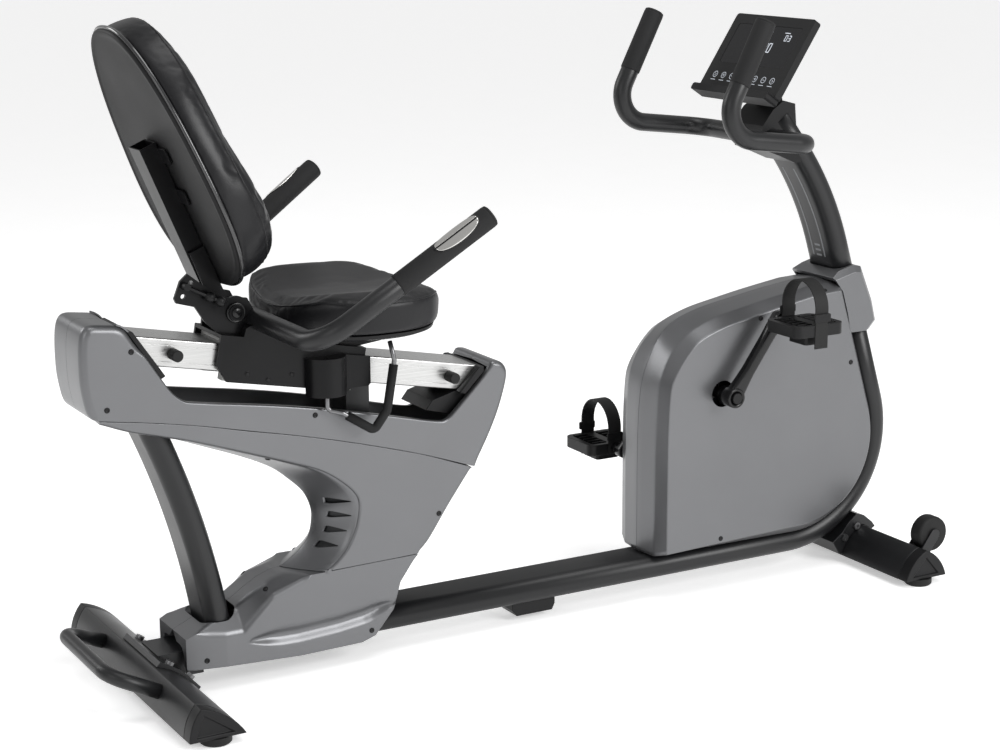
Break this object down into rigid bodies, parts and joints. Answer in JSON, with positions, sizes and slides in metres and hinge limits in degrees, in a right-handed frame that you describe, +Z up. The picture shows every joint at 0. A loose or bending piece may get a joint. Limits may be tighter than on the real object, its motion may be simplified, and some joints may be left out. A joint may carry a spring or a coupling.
{
  "type": "recumbent exercise bike",
  "caption": "Recumbent exercise bike with a step-through floor beam, sliding padded seat on a sloping rail, reclining back, side grips, shrouded pedal drive and a tilting console on a mast.",
  "frame": {"origin": "on the floor, under the middle of the overall length and width", "axes": "+X from the seat towards the console, +Y to the rider's left, +Z up"},
  "size_m": [1.6525, 0.6986, 1.1028],
  "materials": {
    "main_frame_tube": "satin black powder coat",
    "console_mast": "satin black powder coat",
    "rear_post": "satin black powder coat",
    "rail_front_upright": "satin black powder coat",
    "rear_stabilizer": "satin black powder coat",
    "front_stabilizer": "satin black powder coat",
    "stabilizer_end_caps": "matte black moulding",
    "levelling_feet": "black rubber",
    "centre_foot": "matte black moulding",
    "rear_carry_handle": "satin black powder coat",
    "rear_link_bracket": "satin black powder coat",
    "front_link_bracket": "satin black powder coat",
    "stabilizer_bolts": "bright plate",
    "seat_rail": "brushed extrusion",
    "rail_stop_bumpers": "black rubber",
    "rail_cover_right": "satin metallic grey moulding",
    "rail_cover_left": "satin metallic grey moulding",
    "neck_cover_right": "satin metallic grey moulding",
    "neck_cover_left": "satin metallic grey moulding",
    "base_cover_right": "satin metallic grey moulding",
    "base_cover_left": "satin metallic grey moulding",
    "rail_end_trims": "matte black moulding",
    "drive_cover_right": "satin metallic grey moulding",
    "drive_cover_left": "satin metallic grey moulding",
    "collar_cover": "satin metallic grey moulding",
    "cover_screws": "matte black moulding",
    "handlebar": "satin black powder coat",
    "handlebar_grips": "black foam grip",
    "handlebar_clamp": "matte black moulding",
    "drive_frame": "satin black powder coat",
    "bearings_and_pins": "machined steel",
    "drive_belt": "black rubber",
    "wheel_brackets": "satin black powder coat",
    "crank_spindles": "machined steel",
    "drive_pulley": "matte black moulding",
    "crank_arm_right": "satin black powder coat",
    "crank_arm_left": "satin black powder coat",
    "pedal_right": "matte black moulding",
    "pedal_strap_right": "black rubber",
    "pedal_left": "matte black moulding",
    "pedal_strap_left": "black rubber",
    "flywheel": "turned iron",
    "brake_yoke": "satin black powder coat",
    "console_housing": "matte black moulding",
    "console_screen": "dark display window",
    "seat_carriage": "satin black powder coat",
    "carriage_glides": "nylon",
    "seat_pan": "matte black moulding",
    "seat_cushion": "black upholstery vinyl",
    "side_handlebar": "satin black powder coat",
    "side_handlebar_grips": "black foam grip",
    "pulse_sensors": "bright plate",
    "backrest_frame": "satin black powder coat",
    "backrest_shell": "black moulding",
    "backrest_cushion": "black upholstery vinyl",
    "slide_lever": "satin black powder coat",
    "recline_lever": "satin black powder coat",
    "wheel_right": "black rubber",
    "wheel_left": "black rubber"
  },
  "bodies": {
    "frame": {"main_frame_tube": "main_frame_tube", "console_mast": "console_mast", "rear_post": "rear_post", "rail_front_upright": "rail_front_upright", "rear_stabilizer": "rear_stabilizer", "front_stabilizer": "front_stabilizer", "stabilizer_end_caps": "stabilizer_end_caps", "levelling_feet": "levelling_feet", "centre_foot": "centre_foot", "rear_carry_handle": "rear_carry_handle", "rear_link_bracket": "rear_link_bracket", "front_link_bracket": "front_link_bracket", "stabilizer_bolts": "stabilizer_bolts", "seat_rail": "seat_rail", "rail_stop_bumpers": "rail_stop_bumpers", "rail_cover_right": "rail_cover_right", "rail_cover_left": "rail_cover_left", "neck_cover_right": "neck_cover_right", "neck_cover_left": "neck_cover_left", "base_cover_right": "base_cover_right", "base_cover_left": "base_cover_left", "rail_end_trims": "rail_end_trims", "drive_cover_right": "drive_cover_right", "drive_cover_left": "drive_cover_left", "collar_cover": "collar_cover", "cover_screws": "cover_screws", "handlebar": "handlebar", "handlebar_grips": "handlebar_grips", "handlebar_clamp": "handlebar_clamp", "drive_frame": "drive_frame", "bearings_and_pins": "bearings_and_pins", "drive_belt": "drive_belt", "wheel_brackets": "wheel_brackets"},
    "crank": {"crank_spindles": "crank_spindles", "drive_pulley": "drive_pulley", "crank_arm_right": "crank_arm_right", "crank_arm_left": "crank_arm_left"},
    "pedal_right": {"pedal_right": "pedal_right", "pedal_strap_right": "pedal_strap_right"},
    "pedal_left": {"pedal_left": "pedal_left", "pedal_strap_left": "pedal_strap_left"},
    "flywheel": {"flywheel": "flywheel"},
    "brake_yoke": {"brake_yoke": "brake_yoke"},
    "console": {"console_housing": "console_housing", "console_screen": "console_screen"},
    "carriage": {"seat_carriage": "seat_carriage", "carriage_glides": "carriage_glides", "seat_pan": "seat_pan", "seat_cushion": "seat_cushion", "side_handlebar": "side_handlebar", "side_handlebar_grips": "side_handlebar_grips", "pulse_sensors": "pulse_sensors"},
    "backrest": {"backrest_frame": "backrest_frame", "backrest_shell": "backrest_shell", "backrest_cushion": "backrest_cushion"},
    "slide_lever": {"slide_lever": "slide_lever"},
    "recline_lever": {"recline_lever": "recline_lever"},
    "wheel_right": {"wheel_right": "wheel_right"},
    "wheel_left": {"wheel_left": "wheel_left"}
  },
  "joints": [
    {"name": "crank_spin", "type": "hinge", "parent": "frame", "child": "crank", "pos_m": [0.39525, 0, 0.384], "axis": [0, 1, 0], "continuous": true},
    {"name": "pedal_right_spin", "type": "hinge", "parent": "crank", "child": "pedal_right", "pos_m": [0.49445, -0.187, 0.52205], "axis": [0, 1, 0], "continuous": true},
    {"name": "pedal_left_spin", "type": "hinge", "parent": "crank", "child": "pedal_left", "pos_m": [0.29605, 0.187, 0.24595], "axis": [0, 1, 0], "continuous": true},
    {"name": "flywheel_spin", "type": "hinge", "parent": "frame", "child": "flywheel", "pos_m": [0.57225, -0.013, 0.25], "axis": [0, 1, 0], "continuous": true},
    {"name": "brake_swing", "type": "hinge", "parent": "frame", "child": "brake_yoke", "pos_m": [0.50525, -0.013, 0.134], "axis": [0, 1, 0], "range_deg": [-4, 0]},
    {"name": "console_tilt", "type": "hinge", "parent": "frame", "child": "console", "pos_m": [0.52025, 0, 0.922], "axis": [0, 1, 0], "range_deg": [-6, 6]},
    {"name": "seat_slide", "type": "slide", "parent": "frame", "child": "carriage", "axis": [0.9816, 0, -0.1908], "range_m": [-0.06, 0.148]},
    {"name": "backrest_recline", "type": "hinge", "parent": "carriage", "child": "backrest", "pos_m": [-0.54475, 0, 0.63], "axis": [0, -1, 0], "range_deg": [-8, 8]},
    {"name": "slide_lever_turn", "type": "hinge", "parent": "carriage", "child": "slide_lever", "pos_m": [-0.40575, -0.082, 0.5], "axis": [0, 0, 1], "range_deg": [-30, 0], "stiffness_Nm_per_rad": 0.4, "springref_deg": 5.73},
    {"name": "recline_lever_lift", "type": "hinge", "parent": "carriage", "child": "recline_lever", "pos_m": [-0.63075, -0.048, 0.682], "axis": [0, 1, 0], "range_deg": [-18, 0], "stiffness_Nm_per_rad": 0.3, "springref_deg": 17.19},
    {"name": "wheel_right_spin", "type": "hinge", "parent": "frame", "child": "wheel_right", "pos_m": [0.79225, -0.202, 0.087], "axis": [0, 1, 0], "continuous": true},
    {"name": "wheel_left_spin", "type": "hinge", "parent": "frame", "child": "wheel_left", "pos_m": [0.79225, 0.202, 0.087], "axis": [0, 1, 0], "continuous": true}
  ],
  "couplings": [
    {"joint": "flywheel_spin", "follows": "crank_spin", "ratio": 8}
  ]
}
